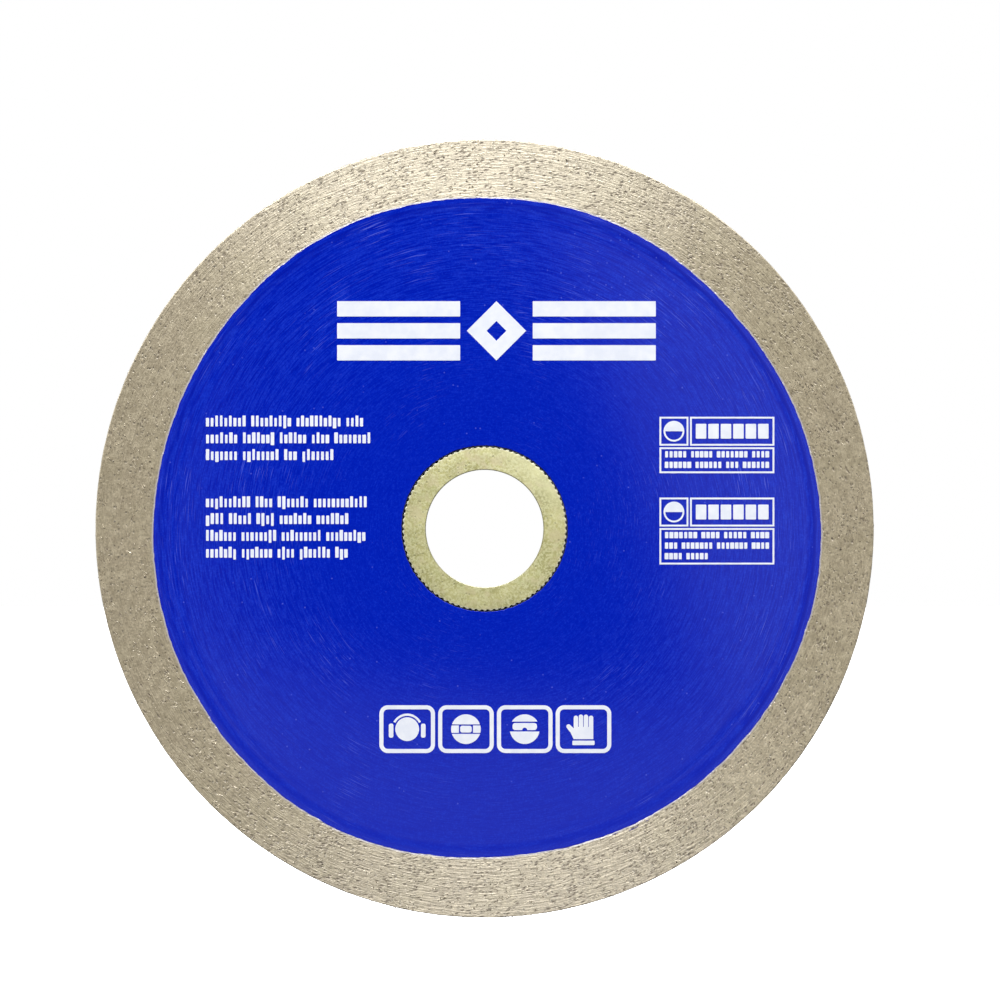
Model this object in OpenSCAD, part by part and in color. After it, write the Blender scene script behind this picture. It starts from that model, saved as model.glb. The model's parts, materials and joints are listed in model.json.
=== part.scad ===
// Continuous-rim diamond blade with a reducer bushing.
// The blade stands upright: +Z is up and the spin axis lies along Y.
// The origin is the centre of the bore, in the blade's mid-plane. The printed front faces -Y.

/* [Blade] */
// Outside diameter of the cutting rim
blade_od = 105; // [103:0.5:110]
// Thickness of the core's steel sheet
core_t = 1.4; // [1.2:0.1:1.4]
// Diameter of the core's own arbor hole
arbor_hole_d = 22.23; // [20:0.01:25.4]

/* [Rim] */
// Thickness over the two ground faces
rim_t = 2.0; // [2:0.1:2.4]
// Radial depth of each ground face
face_depth = 7.65; // [7.4:0.05:7.8]
// Radial width of the painted ledge inside each ground face
ledge_w = 0.8; // [0.4:0.1:1.2]
// Radial run of the sloped shoulder between core and ledge
shoulder_run = 0.6; // [0.4:0.1:1.0]
// Bevel on the two corners of the cutting edge
edge_bevel = 0.12; // [0.05:0.01:0.2]
// How far the core's sheet runs in under the ground face
core_reach = 3.6; // [2.8:0.2:5]
// Number of teeth on the core's hidden edge, which key the rim to the core
key_count = 48; // [24:2:60]
// Radial height of those teeth
key_height = 2.0; // [1:0.5:2.5]

/* [Diamond grit] */
// Edge length of one crystal
grit_size = 0.27; // [0.2:0.01:0.28]
// Number of crystals shown in each ground face
face_grit = 90; // [30:10:120]
// Number of crystals shown in the cutting edge
edge_grit = 60; // [20:10:90]

/* [Reducer bushing] */
// Diameter of the bushing's bore
bore_d = 15.88; // [12.7:0.01:16]
// Thickness of the bushing
bushing_t = 1.4; // [1:0.1:1.6]
// Number of knurl teeth round the bushing
knurl_count = 86; // [60:2:100]
// Radial depth of the knurl
knurl_depth = 0.16; // [0.1:0.02:0.2]
// Radial gap between the knurl's crests and the core's hole
bushing_gap = 0.03; // [0.01:0.01:0.08]
// Chamfer at both ends of the bore
bore_chamfer = 0.1; // [0.05:0.05:0.2]

/* [Paint and print] */
// Thickness of the paint
paint_t = 0.1; // [0.06:0.02:0.14]
// Depth of the ink, which lies flush in the paint
ink_t = 0.04; // [0.02:0.01:0.05]
// Width of the bold emblem at the top
emblem_w = 43; // [36:1:46]
// Height of that emblem
emblem_h = 8; // [6:0.5:9]

/* [Hidden] */
$fn = 96;
eps = 0.5;                                      // how far a cutter runs past what it cuts
bare_w = 0.08;                                  // bare strip left round the arbor hole

blade_r = blade_od / 2;
hole_r = arbor_hole_d / 2;
face_in_r = blade_r - face_depth;               // inner edge of the ground face
ledge_r = face_in_r - ledge_w;                  // where the shoulder meets the ledge
toe_r = ledge_r - shoulder_run;                 // where the shoulder meets the core
ledge_z = rim_t / 2 - paint_t;                  // the ledge lies a coat of paint below the ground face
key_tip_r = face_in_r + core_reach;
key_root_r = key_tip_r - key_height;
key_gap_w = PI * key_root_r / key_count;        // as wide as the teeth between the gaps

shoulder_angle = atan2(ledge_z - core_t / 2, shoulder_run);
paint_face = core_t / 2 + paint_t;              // height of the painted face over the mid-plane
paint_in_r = hole_r + bare_w;
paint_bend = paint_t * tan(shoulder_angle / 2); // how far the paint's bends lie inside the steel's

crest_r = hole_r - bushing_gap;
knurl_root_r = crest_r - knurl_depth;

crest_half = 0.12;                              // half the width of a tooth's crest, in pitches
flank_foot = 0.34;                              // where its flank ends on the root, in pitches

golden_angle = 137.508;
grit_sink = 0.48 * grit_size;                   // depth of a crystal's centre below the surface
grit_margin = 0.6;                              // bare strip left along a ground face's borders
edge_swing = rim_t / 2 - edge_bevel - grit_size;

// Where each group of random sizes or turns starts
face_seed = 20;
edge_seed = 30;
note_seed = 40;
panel_seed = 60;
back_seed = 80;
seed_step = 10;

// Print layout, as seen from the face's own front: x to the right, y up, from the bore's centre
emblem_at = [1.6, 26.7];
notes_x = -37.7;
notes_y = [14.4, 3.5];
note_widths = [[21.4, 22.4, 17.4], [21.9, 19.4, 21.7, 19.3]];
note_h = 1.15;                                  // height of one line's bars
note_pitch = 2.27;
word_gap = 0.55;
panel_x = 23.6;                                 // left edge of both warning panels
panel_w = 15.5;
panel_top = [15.1, 4.2];                        // upper edge of each panel
panel_head_h = 3.9;
panel_lines = [2, 3];                           // text lines in each panel's lower frame
panel_line_pitch = 1.42;
panel_line_h = 0.75;
panel_line_words = 4;
panel_short_line = [0.4, 2];                    // share of the width and words of a third line
panel_pad = 0.65;
panel_stroke = 0.24;
panel_gap = 0.22;
panel_mark_r = 1.4;
panel_block = [1.5, 2];
panel_blocks = 5;
sign_count = 4;
sign_w = 7.5;
sign_h = 6.45;
sign_pitch = 7.93;
sign_stroke = 0.55;
sign_corner = 1.15;
signs_at = [1.45, -27.05];                      // centre of the row of signs
face_r = 2;                                     // round head on two of the signs
arrow_r = 37;
arrow_w = 1.8;
arrow_half_sweep = 28;
back_emblem_at = [0, 22];
back_note_y = -22;
back_note_w = [22, 19, 16];

// ---- Helpers ----

// Stand a drawing up on the front, and on the back as seen from behind
module on_front() rotate([90, 0, 0]) children();
module on_back() rotate([90, 0, 180]) children();

// Sum of the first n entries of a list
function running_sum(list, n) = n == 0 ? 0 : running_sum(list, n - 1) + list[n - 1];

module centred(size) square(size, center = true);

module rounded(size, r) {
    centred([size[0] - 2 * r, size[1]]);
    centred([size[0], size[1] - 2 * r]);
    for (sx = [-1, 1], sy = [-1, 1])
        translate([sx * (size[0] / 2 - r), sy * (size[1] / 2 - r)]) circle(r = r, $fn = 32);
}

// A rectangular outline, from its lower left corner
module outline(size, stroke) {
    difference() {
        square(size);
        translate([stroke, stroke]) square([size[0] - 2 * stroke, size[1] - 2 * stroke]);
    }
}

module ring(outer, inner) {
    difference() {
        circle(r = outer);
        circle(r = inner);
    }
}

// ---- Core ----

module core_sheet(r_in) {
    linear_extrude(core_t, center = true)
        difference() {
            circle(r = key_tip_r);
            circle(r = r_in);
            for (i = [0 : key_count - 1])
                rotate(i * 360 / key_count)
                    translate([key_root_r, -key_gap_w / 2]) square([key_height + eps, key_gap_w]);
        }
}

module steel_core() {
    color("silver") on_front() core_sheet(hole_r);
}

// ---- Rim ----

module rim_section() {
    half = rim_t / 2;
    polygon([
        [toe_r, core_t / 2], [ledge_r, ledge_z], [face_in_r - paint_t, ledge_z], [face_in_r, half],
        [blade_r - edge_bevel, half], [blade_r, half - edge_bevel],
        [blade_r, edge_bevel - half], [blade_r - edge_bevel, -half],
        [face_in_r, -half], [face_in_r - paint_t, -ledge_z], [ledge_r, -ledge_z], [toe_r, -core_t / 2]
    ]);
}

module diamond_rim() {
    color([0.70, 0.65, 0.54]) on_front()
        difference() {
            rotate_extrude() rim_section();
            core_sheet(toe_r - eps);
            crystals();
        }
}

// ---- Diamond grit ----

// Crystals spread evenly over both ground faces and along the cutting edge
module crystals() {
    near = face_in_r + grit_margin;
    far = blade_r - grit_margin;
    for (side = [-1, 1]) {
        spin = rands(0, 360, 3 * face_grit, face_seed + side);
        for (i = [0 : face_grit - 1]) {
            r = sqrt(near ^ 2 + (far ^ 2 - near ^ 2) * (i + 0.5) / face_grit);
            rotate(i * golden_angle) translate([r, 0, side * (rim_t / 2 - grit_sink)])
                rotate([spin[3 * i], spin[3 * i + 1], spin[3 * i + 2]]) cube(grit_size, center = true);
        }
    }
    edge_spin = rands(0, 360, 3 * edge_grit, edge_seed);
    for (i = [0 : edge_grit - 1])
        rotate(i * 360 / edge_grit)
            translate([blade_r - grit_sink, 0, edge_swing * sin(i * golden_angle)])
                rotate([edge_spin[3 * i], edge_spin[3 * i + 1], edge_spin[3 * i + 2]])
                    cube(grit_size, center = true);
}

module diamond_grit() {
    color([0.45, 0.42, 0.33]) on_front() crystals();
}

// ---- Paint ----

// The coat runs over the core's face, the shoulder and the ledge, where it is level with the ground face
module coat() {
    rotate_extrude() polygon([
        [paint_in_r, core_t / 2], [toe_r, core_t / 2], [ledge_r, ledge_z], [face_in_r - paint_t, ledge_z],
        [face_in_r, rim_t / 2], [ledge_r - paint_bend, rim_t / 2],
        [toe_r - paint_bend, paint_face], [paint_in_r, paint_face]
    ]);
}

// Ink of a drawing's shape, from its lower side up to the painted face
module ink() {
    translate([0, 0, paint_face - ink_t]) linear_extrude(ink_t) children();
}

module front_paint() {
    color([0.04, 0.15, 0.70]) on_front()
        difference() {
            coat();
            translate([0, 0, paint_face - ink_t]) linear_extrude(ink_t + eps) front_drawing();
        }
}

module back_paint() {
    color([0.04, 0.15, 0.70]) on_back()
        difference() {
            coat();
            translate([0, 0, paint_face - ink_t]) linear_extrude(ink_t + eps) back_drawing();
        }
}

// ---- Print ----

// Plain bars in place of words, which fill one line of the given width
module word_bars(width, height, words, seed) {
    share = rands(1, 3, words, seed);
    inked = width - (words - 1) * word_gap;
    scale_up = inked / running_sum(share, words);
    for (i = [0 : words - 1])
        translate([running_sum(share, i) * scale_up + i * word_gap, 0])
            square([share[i] * scale_up, height]);
}

// A rhombus between two stacks of plain stripes
module emblem() {
    gem = emblem_h / 2;
    gap = 0.9;
    stripe = (emblem_h - 2 * gap) / 3;
    length = emblem_w / 2 - gem - gap;
    difference() {
        polygon([[-gem, 0], [0, gem], [gem, 0], [0, -gem]]);
        polygon([[-gem / 3, 0], [0, gem / 3], [gem / 3, 0], [0, -gem / 3]]);
    }
    for (side = [-1, 1], row = [-1, 0, 1])
        translate([side * (gem + gap + length / 2), row * (stripe + gap)])
            centred([length, stripe]);
}

module notes() {
    for (p = [0, 1], i = [0 : len(note_widths[p]) - 1])
        translate([notes_x, notes_y[p] - i * note_pitch - note_h / 2])
            word_bars(note_widths[p][i], note_h, 4 + (i + p) % 2, note_seed + p * seed_step + i);
}

// A disc whose lower half is only an outline
module half_disc(r) {
    ring(r, r - panel_stroke);
    difference() {
        circle(r = r - panel_stroke / 2);
        translate([-r, -2 * r]) square([2 * r, 2 * r]);
    }
}

module panel(lines, seed) {
    foot_h = lines * panel_line_pitch + panel_pad;
    head_w = panel_w - panel_head_h - panel_gap;
    line_w = panel_w - 2 * panel_pad;
    translate([0, -panel_head_h]) outline([panel_head_h, panel_head_h], panel_stroke);
    translate([panel_head_h / 2, -panel_head_h / 2]) half_disc(panel_mark_r);
    translate([panel_head_h + panel_gap, -panel_head_h]) {
        outline([head_w, panel_head_h], panel_stroke);
        for (i = [0 : panel_blocks - 1])
            translate([panel_pad + (i + 0.5) * (head_w - 2 * panel_pad) / panel_blocks, panel_head_h / 2])
                centred(panel_block);
    }
    translate([0, -panel_head_h - panel_gap - foot_h]) {
        outline([panel_w, foot_h], panel_stroke);
        for (i = [0 : lines - 1])
            let (fill = i == 2 ? panel_short_line : [1, panel_line_words])
                translate([panel_pad, foot_h - panel_pad - panel_line_h - i * panel_line_pitch])
                    word_bars(fill[0] * line_w, panel_line_h, fill[1], seed + i);
    }
}

module ear_sign() {
    head_r = 1.6;
    band_r = 2.1;
    band_w = 0.3;
    cup = [0.6, 1.9];
    cup_drop = 0.2;
    circle(r = head_r);
    intersection() {
        ring(band_r, band_r - band_w);
        translate([-band_r, 0]) square([2 * band_r, band_r]);
    }
    for (side = [-1, 1])
        translate([side * band_r, -cup_drop]) rounded(cup, 0.25);
}

module mask_sign() {
    mask = [1.9, 1.3];
    strap_w = 0.12;
    strap_y = 0.55;
    difference() {
        circle(r = face_r);
        rounded(mask, 0.3);
        for (side = [-1, 1])
            translate([0, side * strap_y]) centred([2 * face_r + eps, strap_w]);
    }
}

module goggles_sign() {
    lens = [3.3, 1.0];
    lens_y = 0.35;
    corner = 0.4;
    gap = 0.15;
    nose_r = 0.35;
    nose_drop = 0.6;
    difference() {
        circle(r = face_r);
        translate([0, lens_y]) rounded([lens[0] + 2 * gap, lens[1] + 2 * gap], corner + gap);
    }
    translate([0, lens_y])
        difference() {
            rounded(lens, corner);
            translate([0, -nose_drop]) circle(r = nose_r, $fn = 24);
        }
}

module glove_sign() {
    finger_w = 0.6;
    finger_h = 2.9;
    finger_pitch = 0.68;
    tip_r = 0.25;
    thumb_h = 1.8;
    thumb_lean = 35;
    palm = [2.64, 1.7];
    cuff = [3, 0.6];
    for (i = [0 : 3])
        let (off = i - 1.5)
            translate([off * finger_pitch, 0.6]) rounded([finger_w, finger_h - 0.3 * abs(off)], tip_r);
    translate([0, -0.5]) centred(palm);
    translate([-1.5, -0.3]) rotate(thumb_lean) rounded([finger_w, thumb_h], tip_r);
    translate([0, -1.8]) centred(cuff);
}

module sign_border() {
    difference() {
        rounded([sign_w, sign_h], sign_corner);
        rounded([sign_w - 2 * sign_stroke, sign_h - 2 * sign_stroke], sign_corner - sign_stroke);
    }
}

module signs() {
    for (i = [0 : sign_count - 1])
        translate([(i - (sign_count - 1) / 2) * sign_pitch, 0]) {
            sign_border();
            if (i == 0) ear_sign();
            if (i == 1) mask_sign();
            if (i == 2) goggles_sign();
            if (i == 3) glove_sign();
        }
}

module front_drawing() {
    translate(emblem_at) emblem();
    notes();
    for (p = [0, 1])
        translate([panel_x, panel_top[p]]) panel(panel_lines[p], panel_seed + p * seed_step);
    translate(signs_at) signs();
}

// An arc with a head at its clockwise end shows the way the blade turns
module turn_arrow() {
    head_w = 1.3 * arrow_w;
    head_l = 2.4 * arrow_w;
    overlap = 0.2;
    difference() {
        ring(arrow_r + arrow_w / 2, arrow_r - arrow_w / 2);
        for (side = [0, 1])
            mirror([side, 0]) rotate(-arrow_half_sweep) translate([0, -2 * arrow_r]) square(4 * arrow_r);
        translate([-2 * arrow_r, -2 * arrow_r]) square([4 * arrow_r, 2 * arrow_r]);
    }
    rotate(90 - arrow_half_sweep) translate([arrow_r, 0])
        polygon([[-head_w, overlap], [head_w, overlap], [0, -head_l]]);
}

module back_drawing() {
    turn_arrow();
    translate(back_emblem_at) emblem();
    for (i = [0 : len(back_note_w) - 1])
        translate([-back_note_w[i] / 2, back_note_y - i * note_pitch])
            word_bars(back_note_w[i], note_h, 4, back_seed + i);
}

module front_print() {
    color("white") on_front() ink() front_drawing();
}

module back_print() {
    color("white") on_back() ink() back_drawing();
}

// ---- Reducer bushing ----

// Straight knurl: each tooth is a crest land and a root land joined by flanks
module knurled_disc() {
    pitch = 360 / knurl_count;
    corners = [[-flank_foot, knurl_root_r], [-crest_half, crest_r],
               [crest_half, crest_r], [flank_foot, knurl_root_r]];
    polygon([
        for (i = [0 : knurl_count - 1], corner = corners)
            let (a = (i + corner[0]) * pitch, r = corner[1])
            [r * cos(a), r * sin(a)]
    ]);
}

module reducer_bushing() {
    bore_r = bore_d / 2;
    color([0.78, 0.75, 0.55]) on_front()
        difference() {
            linear_extrude(bushing_t, center = true) knurled_disc();
            cylinder(h = bushing_t + 2 * eps, r = bore_r, center = true);
            for (side = [0, 1]) mirror([0, 0, side])
                translate([0, 0, bushing_t / 2 - bore_chamfer])
                    cylinder(h = 2 * bore_chamfer, r1 = bore_r, r2 = bore_r + 2 * bore_chamfer);
        }
}

steel_core();
diamond_rim();
diamond_grit();
front_paint();
back_paint();
front_print();
back_print();
reducer_bushing();
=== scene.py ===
"""Looks of a continuous-rim diamond blade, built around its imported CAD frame.

Everything is in metres in the frame's own axes: the spin axis lies along Y, the printed front faces -Y
and +Z is up. A side is -1 for the front and +1 for the back.
"""
import json
import math
from itertools import product

import bmesh
import bpy
import numpy as np
from mathutils import Matrix, Vector


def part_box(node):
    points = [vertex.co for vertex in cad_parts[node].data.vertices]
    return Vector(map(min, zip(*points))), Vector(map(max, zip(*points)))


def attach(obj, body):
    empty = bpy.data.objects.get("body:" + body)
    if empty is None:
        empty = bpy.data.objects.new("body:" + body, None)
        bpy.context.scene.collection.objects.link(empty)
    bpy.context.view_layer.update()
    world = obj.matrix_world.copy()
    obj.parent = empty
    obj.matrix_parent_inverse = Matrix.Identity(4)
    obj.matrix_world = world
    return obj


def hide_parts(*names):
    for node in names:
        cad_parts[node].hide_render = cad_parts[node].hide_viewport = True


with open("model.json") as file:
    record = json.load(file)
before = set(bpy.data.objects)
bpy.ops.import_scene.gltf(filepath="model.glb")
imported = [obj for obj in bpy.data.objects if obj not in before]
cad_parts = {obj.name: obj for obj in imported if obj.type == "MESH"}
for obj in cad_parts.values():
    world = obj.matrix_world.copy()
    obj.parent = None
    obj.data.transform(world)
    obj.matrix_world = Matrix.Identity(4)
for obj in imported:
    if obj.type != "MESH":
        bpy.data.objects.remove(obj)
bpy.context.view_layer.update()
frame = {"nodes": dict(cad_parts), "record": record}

MM = 0.001
TURN = 2 * math.pi
FRONT, BACK = -1, 1

# ---- Sizes taken from the frame ----

RIM_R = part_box("diamond_rim")[1].x
RIM_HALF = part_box("diamond_rim")[1].y
CORE_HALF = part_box("steel_core")[1].y
KEY_TIP_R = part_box("steel_core")[1].x
FACE_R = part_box("front_paint")[1].x
INK_TOP = -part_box("front_print")[0].y
BUSH_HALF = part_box("reducer_bushing")[1].y
CREST_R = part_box("reducer_bushing")[1].x
BORE_R = next(m for m in frame["record"]["mounts"] if m["name"] == "arbor_bore")["dims"]["r_mm"] * MM

# ---- Sizes that repeat part.scad, in metres ----

PAINT_T = 0.1 * MM
LEDGE_W = 0.8 * MM                              # the painted ledge inside each ground face
SHOULDER_RUN = 0.6 * MM
EDGE_BEVEL = 0.12 * MM
KEY_COUNT = 48
KEY_HEIGHT = 2.0 * MM
PAINT_IN_R = 11.195 * MM
KNURL_COUNT = 86
KNURL_DEPTH = 0.16 * MM

# ---- Small geometry helpers ----


def place(u, v, h, side):
    """Points u to the right, v up and h out of the mid-plane, as that side is seen from its front."""
    return np.stack(np.broadcast_arrays(-side * u, side * h, v), -1)


def smooth_step(t):
    t = np.clip(t, 0, 1)
    return t * t * (3 - 2 * t)


def cell_noise(x, y, around, seed):
    """Smooth noise from -1 to 1 on a lattice of unit cells. It repeats after `around` cells in x."""
    y = y - np.min(y)
    table = np.random.default_rng(seed).uniform(-1, 1, (int(np.max(y)) + 3, around))
    i, j = np.floor(x).astype(int), np.floor(y).astype(int)
    s, t = smooth_step(x - i), smooth_step(y - j)
    low = table[j, i % around] * (1 - s) + table[j, (i + 1) % around] * s
    high = table[j + 1, i % around] * (1 - s) + table[j + 1, (i + 1) % around] * s
    return low * (1 - t) + high * t


def streak_noise(angle, r, length, width, seed):
    """Noise in streaks that run round the axis."""
    around = round(TURN * FACE_R / length)
    return cell_noise(angle / TURN * around, r / width + np.zeros_like(angle), around, seed)


def as_object(name, mesh, sharp_angle):
    """Adds a mesh as a piece, with its normals outward and its edges sharp past the given angle."""
    made = bmesh.new()
    made.from_mesh(mesh)
    bmesh.ops.recalc_face_normals(made, faces=made.faces)
    made.to_mesh(mesh)
    made.free()
    mesh.shade_smooth()
    mesh.set_sharp_from_angle(angle=math.radians(sharp_angle))
    piece = bpy.data.objects.new(name, mesh)
    bpy.context.scene.collection.objects.link(piece)
    return piece


def turned(rows, angle):
    """Points of a section, given as radii and places along the axis, carried round the axis."""
    rings = [np.broadcast_arrays(r * np.cos(angle), y, r * np.sin(angle)) for r, y in rows]
    return np.stack([np.stack(ring, -1) for ring in rings]).reshape(-1, 3)


def ring_faces(stations, angles):
    """Quads of a ring whose section and turn both close on themselves."""
    i, j = (k.ravel() for k in np.meshgrid(np.arange(stations), np.arange(angles), indexing="ij"))
    up, on = (i + 1) % stations, (j + 1) % angles
    return np.stack([i * angles + j, up * angles + j, up * angles + on, i * angles + on], -1)


def mesh_of(name, points, faces):
    mesh = bpy.data.meshes.new(name)
    mesh.from_pydata(points.tolist(), [], [list(f) for f in faces])
    return mesh


def finish_piece(piece, material, body, node):
    """Gives a piece its first material and its body, and hides the CAD node it stands for."""
    piece.data.materials.append(material)
    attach(piece, body)
    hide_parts(node)


# ---- The border between paint and ground rim ----

BACK_WAVE_TURN = 2.1                            # radians that the back's border, a mirror image, is turned
PAINT_LAP = 0.12 * MM                           # how far the paint's feathered edge laps the ground face


def border_wave(angle, side):
    """How far the ground face's inner border strays from a true circle."""
    a = angle if side == FRONT else BACK_WAVE_TURN - angle
    broad = 0.35 * np.cos(3 * a + 0.75) + 0.16 * np.cos(2 * a - 0.14) + 0.14 * np.cos(a + 0.80)
    fine = 0.11 * np.cos(6 * a - 0.44) + 0.055 * np.cos(4 * a + 1.65) + 0.05 * np.cos(8 * a + 3.0)
    return MM * (broad + fine - 0.03)


def face_edge(angle, side):
    """Radius where the painted ledge meets the ground face, which the paint's feathered edge overlaps."""
    return FACE_R + border_wave(angle, side) - PAINT_LAP


def paint_border(angle, side):
    """Radius where the paint ends: the border with a fine ragged outline."""
    ragged = 0.035 * streak_noise(angle, 0.0, 1.9 * MM, 1.0, 11 + side)
    ragged = ragged + 0.045 * streak_noise(angle, 0.0, 0.6 * MM, 1.0, 21 + side)
    nicks = np.clip(streak_noise(angle, 0.0, 2.6 * MM, 1.0, 31 + side) - 0.6, 0, 1)
    return FACE_R + border_wave(angle, side) + MM * (ragged - 0.25 * nicks)


# ---- Rim ----

RIM_ANGLES = 720
FACE_STATIONS = 44
RELIEF = 0.004 * MM                             # height of the grooves that grinding leaves
KEY_HALF_TURN = math.radians(1.7)               # half the angle of a rim tooth, between two of the core's
CORE_GAP = 0.02 * MM                            # what the rim piece keeps clear of the core's teeth


def rim_side(angle, side):
    """Stations of one side's half section, from the slot's floor out to the bevel: radius and height."""
    edge = face_edge(angle, side)
    ledge = edge - LEDGE_W
    toe = ledge - SHOULDER_RUN
    key_turn = TURN / KEY_COUNT
    off = np.abs((angle + key_turn / 2) % key_turn - key_turn / 2)
    slot_floor = np.where(off < KEY_HALF_TURN, KEY_TIP_R - KEY_HEIGHT, KEY_TIP_R) + CORE_GAP
    stations = [(slot_floor, CORE_HALF), (toe, CORE_HALF), (ledge, RIM_HALF - PAINT_T)]
    stations += [(edge - PAINT_T, RIM_HALF - PAINT_T)]
    outer = RIM_R - EDGE_BEVEL
    for t in np.linspace(0, 1, FACE_STATIONS) ** 1.15:
        r = edge + t * (outer - edge)
        relief = 0.6 * streak_noise(angle, r, 7 * MM, 0.45 * MM, 41 + side)
        relief = relief + 0.4 * streak_noise(angle, r, 3 * MM, 0.28 * MM, 43 + side)
        calm = min(1.0, 8 * t, 8 * (1 - t))
        stations.append((r, RIM_HALF + RELIEF * calm * relief))
    return stations


def rim_half(angle, side, ragged):
    """One side's section as radius and place along the axis, and each point's way past the paint in mm."""
    seen = angle if side == FRONT else (TURN / 2 - angle) % TURN
    half = rim_side(seen, side)
    half += [(RIM_R + ragged - EDGE_BEVEL * (1 - t), RIM_HALF - EDGE_BEVEL * t) for t in (0.5, 1.0)]
    border = paint_border(seen, side)
    past_paint = [(r - border) / MM for r, _ in half]
    return [(r, side * h) for r, h in half], past_paint


def build_rim():
    angle = np.arange(RIM_ANGLES) * TURN / RIM_ANGLES
    ragged = 0.016 * MM * streak_noise(angle, 0.0, 0.8 * MM, 1.0, 51)
    ragged = ragged + 0.012 * MM * streak_noise(angle, 0.0, 3.1 * MM, 1.0, 52)
    front, front_past = rim_half(angle, FRONT, ragged)
    back, back_past = rim_half(angle, BACK, ragged)
    edge_line = [(RIM_R + ragged, y) for y in np.linspace(-0.6, 0.6, 5) * RIM_HALF]
    rows = front + edge_line + back[::-1]
    past_paint = front_past + [front_past[-1]] * len(edge_line) + back_past[::-1]
    mesh = mesh_of("rim", turned(rows, angle), ring_faces(len(rows), RIM_ANGLES))
    attribute = mesh.attributes.new("from_border", "FLOAT", "POINT")
    attribute.data.foreach_set("value", np.stack([p + np.zeros(RIM_ANGLES) for p in past_paint]).ravel())
    return as_object("rim_ground_bond", mesh, 30)


# ---- Diamond grit ----

FACE_GRIT = 3400                                # crystals shown in each ground face
EDGE_GRIT = 420
GRIT_IN, GRIT_OUT = FACE_R + 0.75 * MM, RIM_R - 0.2 * MM
CUBOCTAHEDRON = [p for p in product((-1, 0, 1), repeat=3) if p.count(0) == 1]
RIDGE_FACES = [[0, 2, 3], [2, 1, 3], [1, 4, 3], [4, 0, 3], [0, 4, 2], [4, 1, 2]]


def cuboctahedron_faces():
    """Six squares, one to each axis direction, and eight triangles, one to each octant."""
    index = {p: i for i, p in enumerate(CUBOCTAHEDRON)}
    faces = []
    for axis, s in product(range(3), (-1, 1)):
        others = [k for k in range(3) if k != axis]
        square = []
        for k, t in ((0, 1), (1, 1), (0, -1), (1, -1)):
            p = [0, 0, 0]
            p[axis], p[others[k]] = s, t
            square.append(index[tuple(p)])
        faces.append(square)
    for sx, sy, sz in product((-1, 1), repeat=3):
        faces.append([index[(sx, sy, 0)], index[(0, sy, sz)], index[(sx, 0, sz)]])
    return faces


def random_turns(rng, count):
    """Rotation matrices spread evenly over all directions, from random quaternions."""
    q = rng.normal(size=(count, 4))
    w, x, y, z = (q / np.linalg.norm(q, axis=1, keepdims=True)).T
    return np.stack([
        np.stack([1 - 2 * (y * y + z * z), 2 * (x * y - w * z), 2 * (x * z + w * y)], -1),
        np.stack([2 * (x * y + w * z), 1 - 2 * (x * x + z * z), 2 * (y * z - w * x)], -1),
        np.stack([2 * (x * z - w * y), 2 * (y * z + w * x), 1 - 2 * (x * x + y * y)], -1)], -2)


def on_rim(a, s, where):
    """Points of the ground rim with their outward normals. s is the radius on a side, or y on the edge."""
    if where:
        outward = place(0, 0, 1, where) + np.zeros((len(a), 3))
        return place(-where * s * np.cos(a), s * np.sin(a), RIM_HALF, where), outward
    out = np.stack([np.cos(a), 0 * a, np.sin(a)], -1)
    return out * RIM_R + np.stack([0 * a, s, 0 * a], -1), out


def grit_places(rng, where):
    """Angles and places across the rim of one side's crystals, which crowd in patches, or of the edge's."""
    if not where:
        return rng.uniform(0, TURN, EDGE_GRIT), rng.uniform(-0.8, 0.8, EDGE_GRIT) * RIM_HALF
    tries = 4 * FACE_GRIT
    a = rng.uniform(0, TURN, tries)
    r = np.sqrt(rng.uniform(GRIT_IN ** 2, GRIT_OUT ** 2, tries))
    crowd = streak_noise(a, r, 3.6 * MM, 1.6 * MM, 61 + where)
    keep = np.flatnonzero(rng.uniform(-0.9, 0.9, tries) < crowd)[:FACE_GRIT]
    return a[keep], r[keep]


def crystals(rng, foot, out, size):
    """Points of crystals that are stretched and turned at random and sunk into the bond at their foot."""
    n = len(size)
    centre = foot - out * (size * rng.uniform(0.4, 0.85, n))[:, None]
    shapes = np.array(CUBOCTAHEDRON, float) * rng.uniform(0.75, 1.15, (n, 1, 3))
    body = np.einsum("nij,nkj->nki", random_turns(rng, n), shapes)
    return body * (size / math.sqrt(2))[:, None, None] + centre[:, None]


def ridges(rng, where, a, s, size):
    """Points of the low ridge of bond that trails each crystal and ends in a point."""
    n = len(size)
    foot, out = on_rim(a, s, where)
    lean = rng.normal(0.30, 0.30, n)
    length = size * rng.uniform(2.5, 8.5, n)
    limits = (GRIT_IN, GRIT_OUT) if where else (-0.8 * RIM_HALF, 0.8 * RIM_HALF)
    tip_s = np.clip(s + length * np.sin(lean), *limits)
    tip, tip_out = on_rim(a - length * np.cos(lean) / RIM_R, tip_s, where)
    beside = np.cross(out, tip - foot)
    half_width = (size * rng.uniform(0.35, 0.75, n))[:, None]
    beside = beside / np.linalg.norm(beside, axis=1, keepdims=True) * half_width
    peak = (size * rng.uniform(0.12, 0.30, n))[:, None]
    sunk, root = 0.008 * MM, 0.03 * MM
    return np.stack([foot + beside - out * sunk, foot - beside - out * sunk, foot + out * peak,
                     tip - tip_out * sunk, foot - out * root], 1)


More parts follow.
